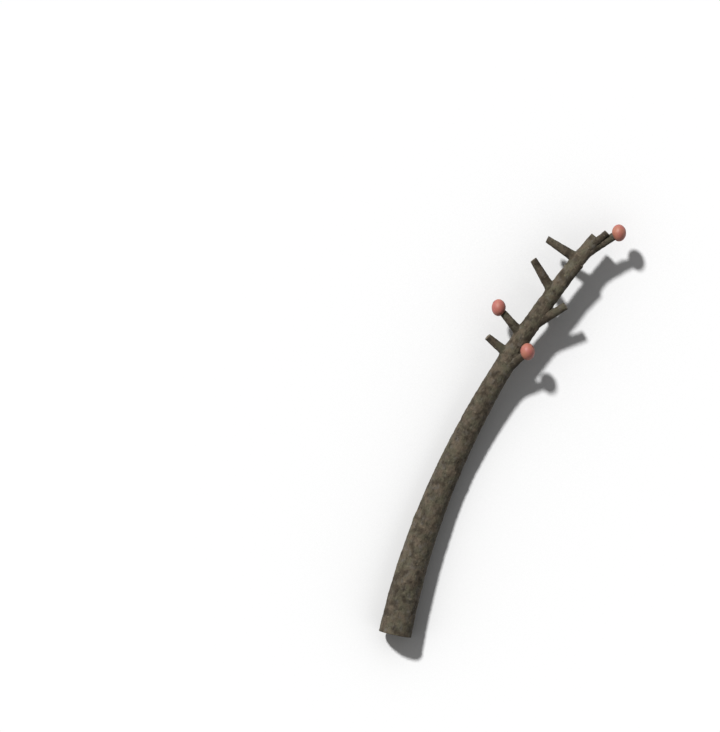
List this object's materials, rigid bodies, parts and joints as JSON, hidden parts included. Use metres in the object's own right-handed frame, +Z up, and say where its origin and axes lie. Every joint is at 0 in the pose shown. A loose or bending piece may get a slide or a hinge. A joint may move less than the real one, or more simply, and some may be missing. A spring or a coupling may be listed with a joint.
{
  "type": "fallen tree branch",
  "caption": "Fallen tree branch lying on the ground: a long curved, tapered bark-covered stem, cut at both ends, with side twigs forking from its thin half and small oval fruits on some twigs.",
  "frame": {"origin": "middle of the bounding box's base, on the surface that the branch lies on", "axes": "+Y from the thick cut end to the thin end, +Z up, the stem bows towards -X"},
  "size_m": [0.0878, 0.4726, 0.0489],
  "materials": {
    "bark": "matt weathered bark, grey-brown with olive and purplish-grey blotches; bare end grain on the cut ends",
    "fruit_skin": "smooth pinkish-red fruit skin with a soft gloss"
  },
  "bodies": {
    "root": {"main_stem": "bark", "first_left_twig": "bark", "second_left_twig": "bark", "left_fruit": "fruit_skin", "third_left_twig": "bark", "fourth_left_twig": "bark", "first_right_twig": "bark", "right_fruit": "fruit_skin", "second_right_twig": "bark", "pressed_spur": "bark", "tip_fork_with_fruit": "bark", "tip_fruit": "fruit_skin", "tip_fork_stub": "bark", "prop_stub": "bark"}
  },
  "joints": []
}
